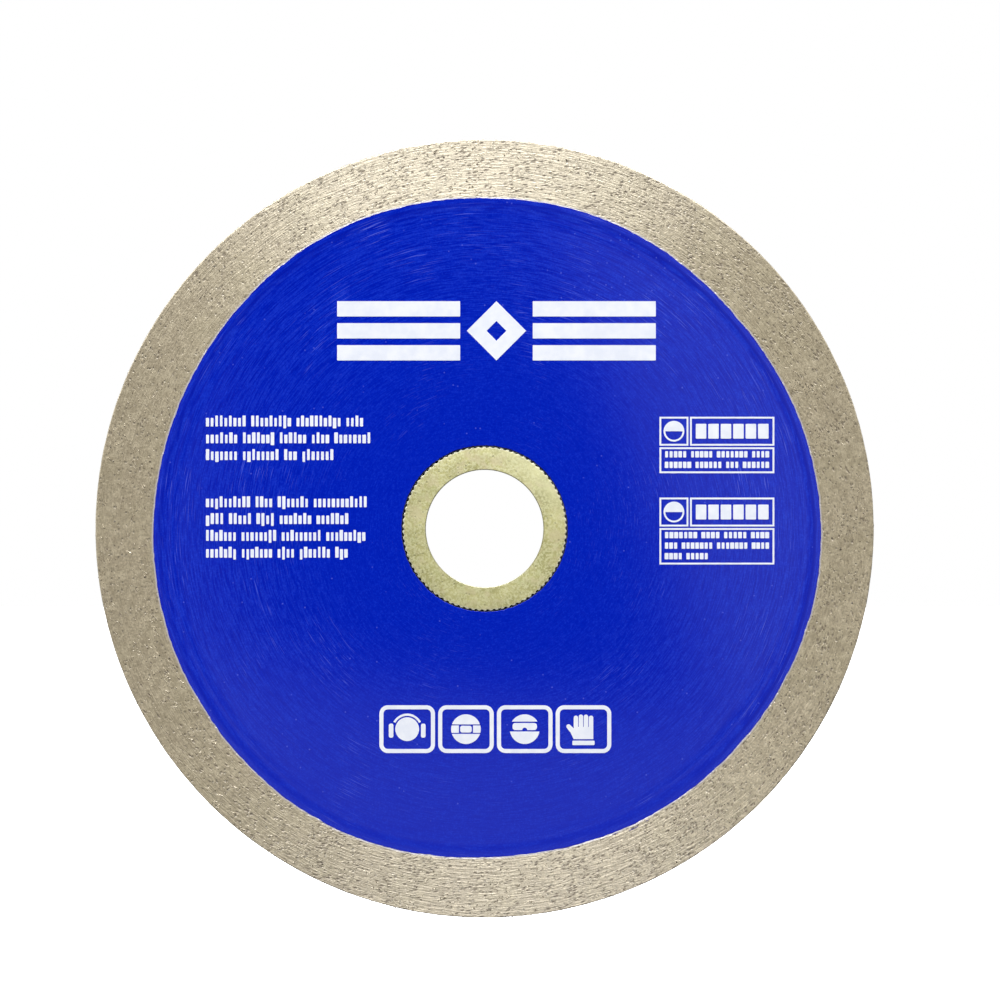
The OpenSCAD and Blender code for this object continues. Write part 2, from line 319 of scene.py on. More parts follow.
def build_grit():
    """Crystals in the first material slot and their ridges in the second."""
    rng = np.random.default_rng(7)
    solid = cuboctahedron_faces()
    points, faces, shade, kinds, count = [], [], [], [], 0
    for where in (FRONT, BACK, 0):
        a, s = grit_places(rng, where)
        size = MM * np.clip(rng.lognormal(-2.15, 0.35, len(a)), 0.05, 0.19)
        bodies = crystals(rng, *on_rim(a, s, where), size)
        tone = rng.uniform(0, 1, len(a))
        trails = ridges(rng, where, a, s, size)
        for k in range(len(a)):
            for kind, made, joined in ((0, bodies[k], solid), (1, trails[k], RIDGE_FACES)):
                points.append(made)
                faces += [[count + v for v in f] for f in joined]
                kinds += [kind] * len(joined)
                shade += [tone[k]] * len(made)
                count += len(made)
    mesh = mesh_of("grit", np.concatenate(points), faces)
    attribute = mesh.attributes.new("shade", "FLOAT", "POINT")
    attribute.data.foreach_set("value", shade)
    mesh.polygons.foreach_set("material_index", kinds)
    return as_object("rim_diamond_grit", mesh, 10)


# ---- Paint ----

COAT_ANGLES = 1440
PAINT_FACE = INK_TOP                            # the painted face, which the CAD's ink lies flush with
FEATHER = 0.008 * MM                            # how far the paint's edge stands over the ground face
SWEEP = 1.5 * MM                                # radial run over which the paint climbs to the ledge
# Slivers of paint on the ground face: angle in degrees, then distance from the border, length and width
RESIDUE = ((-63.6, 0.50, 1.5, 0.13), (-66.8, 0.20, 1.0, 0.09),
           (-60.9, 0.42, 0.7, 0.07), (131.0, 0.38, 0.9, 0.07))


def coat_stations(angle, side):
    """The film's section as radius and height: over the face and the ledge, and back below them."""
    hub = PAINT_IN_R + MM * (0.04 * streak_noise(angle, 0.0, 1.2 * MM, 1.0, 71 + side) + 0.03)
    edge, border = face_edge(angle, side), paint_border(angle, side)
    ledge = edge - LEDGE_W
    toe = ledge - SHOULDER_RUN
    top = RIM_HALF + FEATHER
    middle = (toe + ledge) / 2
    rows = [(hub, CORE_HALF), (hub, PAINT_FACE - 0.05 * MM), (hub + 0.03 * MM, PAINT_FACE - 0.015 * MM)]
    flat_in, flat_out = hub + 0.09 * MM, middle - SWEEP / 2
    rows += [(flat_in + t * (flat_out - flat_in), PAINT_FACE) for t in np.linspace(0, 1, 20)]
    # The paint rounds off the shoulder's two bends into one soft sweep
    for t in np.linspace(0, 1, 13)[1:]:
        rows.append((flat_out + t * SWEEP, PAINT_FACE + smooth_step(t) * (top - PAINT_FACE)))
    thin = FEATHER * (0.6 + 0.4 * streak_noise(angle, 0.0, 0.9 * MM, 1.0, 81 + side))
    rows += [(border - 0.012 * MM, top), (border, RIM_HALF + thin * 0.4), (border, RIM_HALF - 0.004 * MM)]
    rows += [(np.minimum(edge, border - 0.01 * MM), RIM_HALF - 0.004 * MM)]
    rows += [(edge - PAINT_T, RIM_HALF - PAINT_T), (ledge, RIM_HALF - PAINT_T), (toe, CORE_HALF)]
    return rows


def film_strip(at_deg, from_border, length, width, side):
    """A sliver of paint left on the ground face, lying along the turn."""
    n = 14
    t = np.linspace(0, 1, n)
    middle = math.radians(at_deg)
    a = middle + (t - 0.5) * length * MM / FACE_R
    r = paint_border(np.array([middle]), side)[0] + from_border * MM
    half = width / 2 * MM * np.sin(np.pi * (0.04 + 0.92 * t)) * (1 + 0.35 * np.sin(9 * t + at_deg))
    points = []
    for across, h in ((-1, -FEATHER), (1, -FEATHER), (0.7, FEATHER), (-0.7, FEATHER)):
        line_r = r + across * half
        points.append(place(line_r * np.cos(a), line_r * np.sin(a), RIM_HALF + h, side))
    points = np.stack(points, 1).reshape(-1, 3)
    faces = [[4 * i + k, 4 * i + (k + 1) % 4, 4 * i + 4 + (k + 1) % 4, 4 * i + 4 + k]
             for i in range(n - 1) for k in range(4)]
    return points, faces + [[0, 1, 2, 3], [4 * n - 4 + k for k in range(4)]]


def build_coat(name, side):
    angle = np.arange(COAT_ANGLES) * TURN / COAT_ANGLES
    rows = coat_stations(angle, side)
    points = np.stack([place(r * np.cos(angle), r * np.sin(angle), h, side) for r, h in rows]).reshape(-1, 3)
    faces = ring_faces(len(rows), COAT_ANGLES).tolist()
    if side == FRONT:
        for strip in RESIDUE:
            more, joined = film_strip(*strip, side)
            faces += [[len(points) + k for k in f] for f in joined]
            points = np.concatenate([points, more])
    mesh = mesh_of(name, points, faces)
    side_on = np.arctan2(points[:, 2], -side * points[:, 0])
    toe = face_edge(side_on, side) - LEDGE_W - SHOULDER_RUN
    attribute = mesh.attributes.new("past_toe", "FLOAT", "POINT")
    attribute.data.foreach_set("value", (np.hypot(points[:, 0], points[:, 2]) - toe) / MM)
    return as_object(name, mesh, 12)


# ---- Bushing ----

CROWN = 0.035 * MM                              # how far the face falls away towards its two edges
BORE_EASE = 0.07 * MM                           # how deep the bore's ends are rounded off
BAND_R = 11.095 * MM                            # a plain band round the ring's middle, just inside the hole
BAND_HALF = 0.18 * MM
BAND_SLOPE = 0.06 * MM                          # run of the slope from the band to the knurl's crests


def bushing_face(crest):
    """One face's section from the bore to the knurl, as radius and height: round end, crown, round edge."""
    rows = [(BORE_R + out * BORE_EASE, BUSH_HALF - down * BORE_EASE)
            for out, down in ((0, 1), (0.3, 0.5), (0.8, 0.22), (2, 0.1))]
    for t in np.linspace(0, 1, 9):
        drop = CROWN * (2 * t - 1) ** 2 * (t if t > 0.5 else 0.3)
        rows.append((BORE_R + (0.12 + 0.76 * t) * (CREST_R - BORE_R), BUSH_HALF - drop))
    rows += [(crest - 0.07 * MM, BUSH_HALF - 0.036 * MM), (crest - 0.02 * MM, BUSH_HALF - 0.05 * MM)]
    return rows + [(crest, BUSH_HALF - 0.08 * MM)]


def build_bushing():
    tooth = np.array([0.0, 0.0, 0.12, 0.9, 1.0, 1.0, 0.9, 0.12])     # its height in shares of the depth
    steps = KNURL_COUNT * len(tooth)
    angle = np.arange(steps) * TURN / steps
    crest = CREST_R - KNURL_DEPTH * (1 - np.tile(tooth, KNURL_COUNT))
    crest = crest + 0.012 * MM * streak_noise(angle, 0.0, 2.5 * MM, 1.0, 91)
    face = bushing_face(crest)
    rows = [(r, -h) for r, h in face]
    rows += [(crest, -BAND_HALF - BAND_SLOPE), (BAND_R, -BAND_HALF)]
    rows += [(BAND_R, BAND_HALF), (crest, BAND_HALF + BAND_SLOPE)]
    rows += face[::-1] + [(BORE_R, BAND_HALF), (BORE_R, -BAND_HALF)]
    mesh = mesh_of("bushing", turned(rows, angle), ring_faces(len(rows), len(angle)))
    return as_object("bushing_zinc_ring", mesh, 32)


# ---- Print: closed outlines drawn with x to the right and y up, in millimetres ----

INK_LIFT = 0.02 * MM                            # how far the ink stands over the paint
INK_ROOT = 0.002 * MM                           # how far it reaches below the paint's face
LETTER_PITCH = 0.62                             # from one letter of small print to the next
LINE_PITCH = 2.27                               # from one line of small print to the next
X_HEIGHT = 1.15                                 # height of its low letters
NOTES_LEFT = -37.7
PANELS_LEFT = 23.6
FRONT_EMBLEM = (1.6, 26.7)                      # where the middles of the drawings lie
SIGN_ROW = (1.45, -27.05)
BACK_EMBLEM = (0, 22)
BACK_NOTES_TOP = -22
BACK_NOTES_WIDTH = 22


def arc(r, start, end, n=40, at=(0, 0)):
    a = np.radians(np.linspace(start, end, n))
    return [(at[0] + r * math.cos(t), at[1] + r * math.sin(t)) for t in a]


def disc(r, n=72):
    return arc(r, 0, 360, n + 1)[:-1]


def block(x, y, w, h, r=0.0):
    """A rectangle from its lower left corner, with rounded corners."""
    if r <= 0:
        return [(x, y), (x + w, y), (x + w, y + h), (x, y + h)]
    left, right, low, high = x + r, x + w - r, y + r, y + h - r
    corners = ((right, high, 0), (left, high, 90), (left, low, 180), (right, low, 270))
    return [p for cx, cy, a in corners for p in arc(r, a, a + 90, 9, (cx, cy))]


def middle_block(w, h, r=0.0, at=(0, 0)):
    return block(at[0] - w / 2, at[1] - h / 2, w, h, r)


def clip(outline, nx, ny, limit):
    """The part of a convex outline with nx * x + ny * y below the limit."""
    kept = []
    for (ax, ay), (bx, by) in zip(outline, outline[1:] + outline[:1]):
        a, b = nx * ax + ny * ay - limit, nx * bx + ny * by - limit
        if a <= 0:
            kept.append((ax, ay))
        if a * b < 0:
            t = a / (a - b)
            kept.append((ax + t * (bx - ax), ay + t * (by - ay)))
    return kept


def moved(shapes, dx, dy, spin=0.0):
    """Shapes turned by spin degrees and moved. A shape is a list of outlines: the outside, then holes."""
    c, s = math.cos(math.radians(spin)), math.sin(math.radians(spin))

    def moved_line(line):
        return [(dx + c * x - s * y, dy + s * x + c * y) for x, y in line]

    return [[moved_line(line) for line in shape] for shape in shapes]


def frame_line(x, y, w, h, stroke, r=0.0):
    """A rectangle drawn as a line, with its outside and its hole."""
    inner_r = max(0.0, r - stroke)
    return [block(x, y, w, h, r), block(x + stroke, y + stroke, w - 2 * stroke, h - 2 * stroke, inner_r)]


def emblem(width=43.0, height=8.0, gap=0.9):
    """A rhombus between two stacks of plain stripes."""
    gem = height / 2
    stripe = (height - 2 * gap) / 3
    length = width / 2 - gem - gap
    reach = gem + gap + length / 2
    rhombus = [(-gem, 0), (0, -gem), (gem, 0), (0, gem)]
    shapes = [[rhombus, [(x / 3, y / 3) for x, y in rhombus]]]
    for side in (-1, 1):
        for row in (-1, 0, 1):
            shapes.append([middle_block(length, stripe, 0.08, (side * reach, row * (stripe + gap)))])
    return shapes


def word_row(width, x_height, words, rng, gap=0.55, tall=0.32, weight=0.62):
    """One line of greeked text: words made of plain blocks, one to a letter, with no letter shapes."""
    share = rng.uniform(1, 3, words)
    room = width - gap * (words - 1)
    letters = np.maximum(2, np.round(share / share.sum() * room / LETTER_PITCH)).astype(int)
    pitch = room / letters.sum()
    shapes, x = [], 0.0
    for count in letters:
        for _ in range(count):
            w = pitch * weight * rng.uniform(0.85, 1.25)
            rise = tall * (rng.uniform() < 0.34)
            drop = 0.8 * tall * (rng.uniform() < 0.12)
            shapes.append([block(x + (pitch - w) / 2, -drop, w, x_height + rise + drop, 0.09)])
            x += pitch
        x += gap
    return shapes


def notes(rng):
    """Two blocks of greeked lines, given as the height of the first line and every line's width."""
    shapes = []
    for top, widths in ((13.8, (21.4, 22.4, 17.4)), (2.9, (21.9, 19.4, 21.7, 19.3))):
        for i, width in enumerate(widths):
            shapes += moved(word_row(width, X_HEIGHT, 4 + i % 2, rng), NOTES_LEFT, top - LINE_PITCH * i)
    return shapes


def half_disc(r, stroke):
    """A disc whose lower half is only an outline."""
    upper = arc(r, 0, 180, 40)
    lower = arc(r, 180, 360, 40) + arc(r - stroke, 360, 180, 40)
    return [[upper], [lower]]


def warning_panel(lines, rng):
    """From its top left: frames for a round mark and for bold blocks, over a frame of greeked lines."""
    width, head, stroke, gap, pad, pitch = 15.5, 3.9, 0.24, 0.22, 0.65, 1.42
    bold, bold_blocks, bold_height, bold_gap = width - head - gap, 6, 2, 0.26
    foot = lines * pitch + pad
    first_line = head + gap + pad + 0.72
    shapes = [frame_line(0, -head, head, head, stroke)]
    shapes += [frame_line(head + gap, -head, bold, head, stroke)]
    shapes += [frame_line(0, -head - gap - foot, width, foot, stroke)]
    shapes += moved(half_disc(1.4, stroke), head / 2, -head / 2)
    step = (bold - 2 * pad) / bold_blocks
    for i in range(bold_blocks):
        middle = (head + gap + pad + (i + 0.5) * step, -head / 2)
        shapes.append([middle_block(step - bold_gap, bold_height, 0.12, middle)])
    for i in range(lines):
        share, words = (0.42, 2) if i == 2 else (1.0, 4)
        row = word_row((width - 2 * pad) * share, 0.85, words, rng, gap=0.45, tall=0.0, weight=0.72)
        shapes += moved(row, pad, -first_line - i * pitch)
    return shapes


def ear_sign():
    """A round head with ear muffs."""
    band = arc(2.1, 28, 152) + arc(1.8, 152, 28)
    cups = [[middle_block(0.62, 1.9, 0.25, (side * 2.17, -0.2))] for side in (-1, 1)]
    return [[disc(1.6)], [band]] + cups


def mask_sign():
    """A round head crossed by a band with a mask in it."""
    face = disc(2.0)
    upper, lower = clip(face, 0, -1, -0.64), clip(face, 0, 1, -0.64)
    belt = clip(clip(face, 0, 1, 0.50), 0, -1, 0.50)
    cheeks = [[clip(belt, side, 0, -0.95)] for side in (-1, 1)]
    return [[upper], [lower], [middle_block(1.55, 0.92, 0.28)]] + cheeks


def goggles_sign():
    """A face under a cap's edge, with a wide lens that a round notch for the nose cuts into."""
    face, foot = disc(2.0), -0.13
    upper, lower = clip(face, 0, -1, -1.02), clip(face, 0, 1, -0.32)
    lens = block(-1.65, foot, 3.3, 0.96, 0.38)
    lower_left = len(lens) * 3 // 4             # three of the lens's four corners are drawn by then
    notch = arc(0.34, 180, 0, 16, (0, foot))
    return [[upper], [lower], [lens[:lower_left] + notch + lens[lower_left:]]]


def glove_sign():
    """A hand's outline from plain strokes, and a separate cuff."""
    finger, split = 0.6, 0.08
    line = [(-1.32, -1.35), (1.32, -1.35)]
    for i in (3, 2, 1, 0):
        middle = (i - 1.5) * (finger + split)
        top = 0.6 + (2.9 - 0.3 * abs(i - 1.5)) / 2
        r = finger / 2
        line += [(middle + r, 0.3)] + arc(r, 0, 180, 13, (middle, top - r)) + [(middle - r, 0.3)]
    line += [(-1.32, 0.1), (-1.85, 0.62)] + arc(0.3, 35, 215, 11, (-2.02, 0.36)) + [(-1.75, -0.45)]
    return [[line], [middle_block(3.0, 0.6, 0.12, (0, -1.85))]]


def signs():
    width, height, pitch, stroke, corner = 7.5, 6.45, 7.93, 0.55, 1.15
    shapes = []
    for i, sign in enumerate((ear_sign(), mask_sign(), goggles_sign(), glove_sign())):
        border = [frame_line(-width / 2, -height / 2, width, height, stroke, corner)]
        shapes += moved(border + sign, (i - 1.5) * pitch, 0)
    return shapes


def turn_arrow(r=37.0, width=1.8, half_sweep=28.0):
    """An arc with a head at its clockwise end shows the way the blade turns."""
    low, high = 90 - half_sweep, 90 + half_sweep
    head = [(r + x, y) for x, y in ((1.3 * width, 0), (0, -2.4 * width), (-1.3 * width, 0))]
    head = moved([[head]], 0, 0, low)[0][0]
    return [[arc(r + width / 2, high, low, 60) + head + arc(r - width / 2, low, high, 60)]]


def front_drawing():
    """Emblem, notes, panels with their tops and their lines, and signs."""
    rng = np.random.default_rng(40)
    shapes = moved(emblem(), *FRONT_EMBLEM) + notes(rng)
    for top, lines in ((15.1, 2), (4.2, 3)):
        shapes += moved(warning_panel(lines, rng), PANELS_LEFT, top)
    return shapes + moved(signs(), *SIGN_ROW)


def back_drawing():
    rng = np.random.default_rng(80)
    shapes = turn_arrow() + moved(emblem(), *BACK_EMBLEM)
    for i in range(3):
        width = BACK_NOTES_WIDTH - 3 * i
        shapes += moved(word_row(width, X_HEIGHT, 4, rng), -width / 2, BACK_NOTES_TOP - LINE_PITCH * i)
    return shapes


def build_ink(name, shapes, side):
    """Flat filled curves, thickened and laid on the painted face as one mesh."""
    curve = bpy.data.curves.new(name, "CURVE")
    curve.dimensions, curve.fill_mode = "2D", "BOTH"
    curve.extrude = 0.5
    made = bmesh.new()
    for shape in shapes:
        curve.splines.clear()
        for line in shape:
            spline = curve.splines.new("POLY")
            spline.points.add(len(line) - 1)
            spline.points.foreach_set("co", [c for x, y in line for c in (x, y, 0, 1)])
            spline.use_cyclic_u = True
        holder = bpy.data.objects.new(name, curve)
        bpy.context.scene.collection.objects.link(holder)
        bpy.context.view_layer.update()
        flat = bpy.data.meshes.new_from_object(holder.evaluated_get(bpy.context.evaluated_depsgraph_get()))
        made.from_mesh(flat)
        bpy.data.objects.remove(holder)
        bpy.data.meshes.remove(flat)
    bmesh.ops.remove_doubles(made, verts=made.verts, dist=1e-5)
    mesh = bpy.data.meshes.new(name)
    made.to_mesh(mesh)
    made.free()
    bpy.data.curves.remove(curve)
    co = np.empty(len(mesh.vertices) * 3)
    mesh.vertices.foreach_get("co", co)
    x, y, layer = co.reshape(-1, 3).T
    h = PAINT_FACE + np.where(layer > 0, INK_LIFT, -INK_ROOT)
    mesh.vertices.foreach_set("co", place(x * MM, y * MM, h, side).ravel())
    return as_object(name, mesh, 30)


# ---- Materials ----


class Nodes:
    """A node tree built by short calls, whose inputs are numbers or other nodes' sockets."""

    def __init__(self, tree):
        self.tree = tree

    def put(self, socket, value):
        if isinstance(value, bpy.types.NodeSocket):
            self.tree.links.new(value, socket)
        elif isinstance(value, tuple) and len(value) == 3 and socket.type == "RGBA":
            socket.default_value = (*value, 1)
        else:
            socket.default_value = value

    def add(self, kind, settings=None, **inputs):
        """A node with its settings made and its inputs filled, by names that have _ for a space."""
        node = self.tree.nodes.new(kind)
        for key, value in (settings or {}).items():
            setattr(node, key, value)
        for key, value in inputs.items():
            self.put(node.inputs[key.replace("_", " ")], value)
        return node

    def maths(self, operation, a, b=0.0, c=0.0):
        node = self.add("ShaderNodeMath", {"operation": operation})
        for socket, value in zip(node.inputs, (a, b, c)):
            self.put(socket, value)
        return node.outputs[0]

    def times(self, result, *factors):
        for factor in factors:
            result = self.maths("MULTIPLY", result, factor)
        return result

    def vector_maths(self, operation, a, b=(0.0, 0.0, 0.0)):
        """The node's outputs: "Vector", and "Value" where the result is a number."""
        node = self.add("ShaderNodeVectorMath", {"operation": operation})
        for socket, value in zip(node.inputs, (a, b)):
            self.put(socket, value)
        return node.outputs


SIDE_SHIFT = 20000.0                            # cells per metre along the axis, so that the sides differ


class Surface(Nodes):
    """A Principled material, with the place on the object at hand."""

    def __init__(self, name, **constants):
        self.material = bpy.data.materials.new(name)
        self.material.use_nodes = True
        super().__init__(self.material.node_tree)
        self.shader = self.tree.nodes["Principled BSDF"]
        for socket, value in constants.items():
            self.shader.inputs[socket.replace("_", " ")].default_value = value
        self.at = self.add("ShaderNodeTexCoord").outputs["Object"]
        self.x, self.y, self.z = self.add("ShaderNodeSeparateXYZ", Vector=self.at).outputs
        squares = self.maths("POWER", self.x, 2.0), self.maths("POWER", self.z, 2.0)
        self.r = self.maths("SQRT", self.maths("ADD", *squares))

    def attribute(self, name):
        return self.add("ShaderNodeAttribute", {"attribute_name": name}).outputs["Fac"]

    def span(self, value, low, high, to_low=0.0, to_high=1.0, smooth=False):
        """Maps low..high to to_low..to_high and holds the ends."""
        kind = {"interpolation_type": "SMOOTHSTEP" if smooth else "LINEAR"}
        ends = {"From_Min": low, "From_Max": high, "To_Min": to_low, "To_Max": to_high}
        return self.add("ShaderNodeMapRange", kind, Value=value, **ends).outputs[0]

    def mix(self, share, a, b):
        node = self.add("ShaderNodeMix", {"data_type": "RGBA"})
        for index, value in ((0, share), (6, a), (7, b)):
            self.put(node.inputs[index], value)
        return node.outputs[2]

    def noise(self, vector, scale=1.0, detail=2.0, rough=0.5):
        settings = {"Scale": scale, "Detail": detail, "Roughness": rough}
        return self.add("ShaderNodeTexNoise", Vector=vector, **settings).outputs["Fac"]

    def around(self, length, width, seed=0.0, lean=0.0):
        """Coordinates whose noise runs round the axis in streaks of that length and width in millimetres."""
        turns = FACE_R / (length * MM)
        shift = self.maths("MULTIPLY_ADD", self.y, SIDE_SHIFT, seed)
        across = self.maths("MULTIPLY_ADD", self.r, 1 / (width * MM), shift)
        if lean:
            angle = self.maths("ARCTAN2", self.z, self.x)
            across = self.maths("MULTIPLY_ADD", angle, lean, across)
        cos = self.times(self.maths("DIVIDE", self.x, self.r), turns)
        sin = self.times(self.maths("DIVIDE", self.z, self.r), turns)
        return self.add("ShaderNodeCombineXYZ", X=cos, Y=across, Z=sin).outputs[0]

    def specks(self, vector, scale, size, share):
        """Round specks of that size in cells, in a share of the cells."""
        cells = self.add("ShaderNodeTexVoronoi", Vector=vector, Scale=scale)
        picked = self.add("ShaderNodeSeparateColor", Color=cells.outputs["Color"]).outputs[0]
        chosen = self.maths("LESS_THAN", picked, share)
        return self.times(self.span(cells.outputs["Distance"], size, size * 0.35), chosen)

    def bump(self, height, depth, normal=None):
        node = self.add("ShaderNodeBump", Height=height, Distance=depth, Strength=1.0)
        if normal is not None:
            self.put(node.inputs["Normal"], normal)
        return node.outputs[0]

    def levelled(self, share):
        """The surface's normal, turned towards the blade's axis by the given share."""
        keep = self.maths("SUBTRACT", 1.0, share)
        weights = self.add("ShaderNodeCombineXYZ", X=keep, Y=1.0, Z=keep).outputs["Vector"]
        normal = self.add("ShaderNodeNewGeometry").outputs["Normal"]
        leant = self.vector_maths("MULTIPLY", normal, weights)["Vector"]
        return self.vector_maths("NORMALIZE", leant)["Vector"]

    def brushed_round(self):
        """Points the highlight's stretch across grooves that run round the axis."""
        tangent = self.add("ShaderNodeTangent", {"direction_type": "RADIAL", "axis": "Y"})
        self.put(self.shader.inputs["Tangent"], tangent.outputs[0])

    def done(self, colour, roughness, normal=None):
        self.put(self.shader.inputs["Base Color"], colour)
        self.put(self.shader.inputs["Roughness"], roughness)
        if normal is not None:
            self.put(self.shader.inputs["Normal"], normal)
        return self.material


def rim_colour(m, grains, patches, mottle):
    """Straw-coloured bond, mottled, with a painted highlight that makes it paler at the top and painted
    shade that makes it browner at the bottom and the left.
    """
    tint = m.noise(m.at, 140.0, 2.0)
    colour = m.mix(m.span(grains, 0.34, 0.66), (0.46, 0.386, 0.250), (0.785, 0.668, 0.456))
    colour = m.mix(m.span(tint, 0.40, 0.62, 0.0, 0.35), colour, (0.63, 0.545, 0.34))
    colour = m.mix(m.span(patches, 0.38, 0.62, 0.0, 0.25), colour, (0.48, 0.40, 0.26))
    # Painted highlight: the bond turns paler towards the top.
    colour = m.mix(m.span(m.z, 36 * MM, 47 * MM, 0.0, 0.20), colour, (0.96, 0.87, 0.68))
    # Painted shade: browner towards the bottom.
    colour = m.mix(m.span(m.z, -33 * MM, -47 * MM, 0.0, 0.38), colour, (0.36, 0.30, 0.20))
    # Painted shade: browner towards the left.
    colour = m.mix(m.span(m.x, -30 * MM, -44 * MM, 0.0, 0.14), colour, (0.33, 0.27, 0.18))
    colour = m.mix(m.span(mottle, 0.50, 0.38, 0.0, 0.30), colour, (0.33, 0.26, 0.155))
    return m.mix(m.span(mottle, 0.52, 0.66, 0.0, 0.35), colour, (0.92, 0.80, 0.56))


def rim_material():
    """Ground bond with grinding streaks, painted shade in its pores, grooves and chains of pitted dashes,
    and a pale line at the paint that is partly a polished edge and partly a painted glint.
    """
    m = Surface("ground_bond", Metallic=0.30, IOR=3.2, Anisotropic=0.80, Anisotropic_Rotation=0.25)
    m.brushed_round()
    long_streak = m.noise(m.around(3.0, 0.28, 3.0), detail=3.0, rough=0.55)
    fine_streak = m.noise(m.around(1.4, 0.15, 9.0), detail=2.0)
    chains = m.noise(m.around(1.6, 0.42, 5.0, lean=52.0), detail=2.0, rough=0.5)
    patches = m.noise(m.at, 300.0, 3.0)
    mottle = m.noise(m.at, 1500.0, 3.0, 0.6)
    grains = m.noise(m.at, 3800.0, 2.0, 0.6)
    # The painted shade of the pits below is sparse to the left and crowds most at the top and the bottom.
    crowd = m.times(m.span(chains, 0.44, 0.58, 0.10, 1.0), m.span(patches, 0.38, 0.56, 0.25, 1.0))
    crowd = m.times(crowd, m.span(m.x, -46 * MM, -20 * MM, 0.3, 1.0))
    crowd = m.times(crowd, m.span(m.maths("ABSOLUTE", m.z), 12 * MM, 38 * MM, 0.45, 1.0))
    dashes = m.specks(m.around(0.66, 0.30, 15.0, lean=28.0), 1.0, 0.55, crowd)
    pores = m.specks(m.at, 1900.0, 0.38, m.span(patches, 0.42, 0.60, 0.10, 0.50))
    grooves = m.span(fine_streak, 0.40, 0.28)
    colour = rim_colour(m, grains, patches, mottle)
    # Painted shade in the low grooves of the fine streaks.
    colour = m.mix(m.times(grooves, 0.40), colour, (0.24, 0.195, 0.125))
    # Painted shade in the pores, which the bump sinks.
    colour = m.mix(m.times(pores, 0.60), colour, (0.12, 0.095, 0.063))
    # Painted shade in the dashes, pits which the bump sinks.
    colour = m.mix(m.times(dashes, 0.80), colour, (0.14, 0.094, 0.046))
    # A pale line just past the paint's border: partly a polished edge, partly a painted glint.
    from_border = m.attribute("from_border")
    pale = m.times(m.span(from_border, 0.0, 0.02), m.span(from_border, 0.24, 0.12))
    colour = m.mix(pale, colour, (0.74, 0.70, 0.74))
    height = m.maths("MULTIPLY_ADD", long_streak, 0.42, m.times(fine_streak, 0.28))
    height = m.maths("MULTIPLY_ADD", dashes, -0.25, height)
    height = m.maths("MULTIPLY_ADD", pores, -0.15, height)
    height = m.maths("MULTIPLY_ADD", grains, 0.18, height)
    rough = m.maths("MULTIPLY_ADD", dashes, 0.4, m.span(fine_streak, 0.3, 0.7, 0.42, 0.52))
    return m.done(colour, rough, m.bump(height, 210e-6))


def grit_material():
    """Dull crystals from dark to pale."""
    m = Surface("grit_crystals", Metallic=0.0, IOR=1.6)
    cloud = m.noise(m.at, 9000.0, 2.0)
    colour = m.mix(m.attribute("shade"), (0.070, 0.055, 0.035), (0.24, 0.195, 0.13))
    colour = m.mix(m.span(cloud, 0.45, 0.75, 0.0, 0.4), colour, (0.30, 0.26, 0.18))
    return m.done(colour, m.span(cloud, 0.3, 0.7, 0.45, 0.65))


BLISTERS_AT = (19.0 * MM, -PAINT_FACE, 33.0 * MM)


def paint_colour(m, streaky, brush, fine, grain):
    """Deep blue with drifts, paler and darker brush streaks and a fine grain."""
    drifts = m.noise(m.around(16.0, 3.2, 4.0), detail=3.0)
    colour = m.mix(m.span(drifts, 0.3, 0.7, 0.0, 0.5), (0.0005, 0.0145, 0.470), (0.0010, 0.0180, 0.495))
    colour = m.mix(m.times(m.span(brush, 0.45, 0.70), streaky, 0.6), colour, (0.007, 0.031, 0.54))
    colour = m.mix(m.times(m.span(fine, 0.48, 0.62), streaky, 0.70), colour, (0.009, 0.040, 0.58))
    colour = m.mix(m.times(m.span(fine, 0.46, 0.34), streaky, 0.85), colour, (0.0003, 0.0090, 0.385))
    colour = m.mix(m.span(grain, 0.36, 0.64, 0.55, 0.0), colour, (0.0003, 0.0095, 0.40))
    return m.mix(m.span(grain, 0.56, 0.76, 0.0, 0.40), colour, (0.012, 0.042, 0.58))


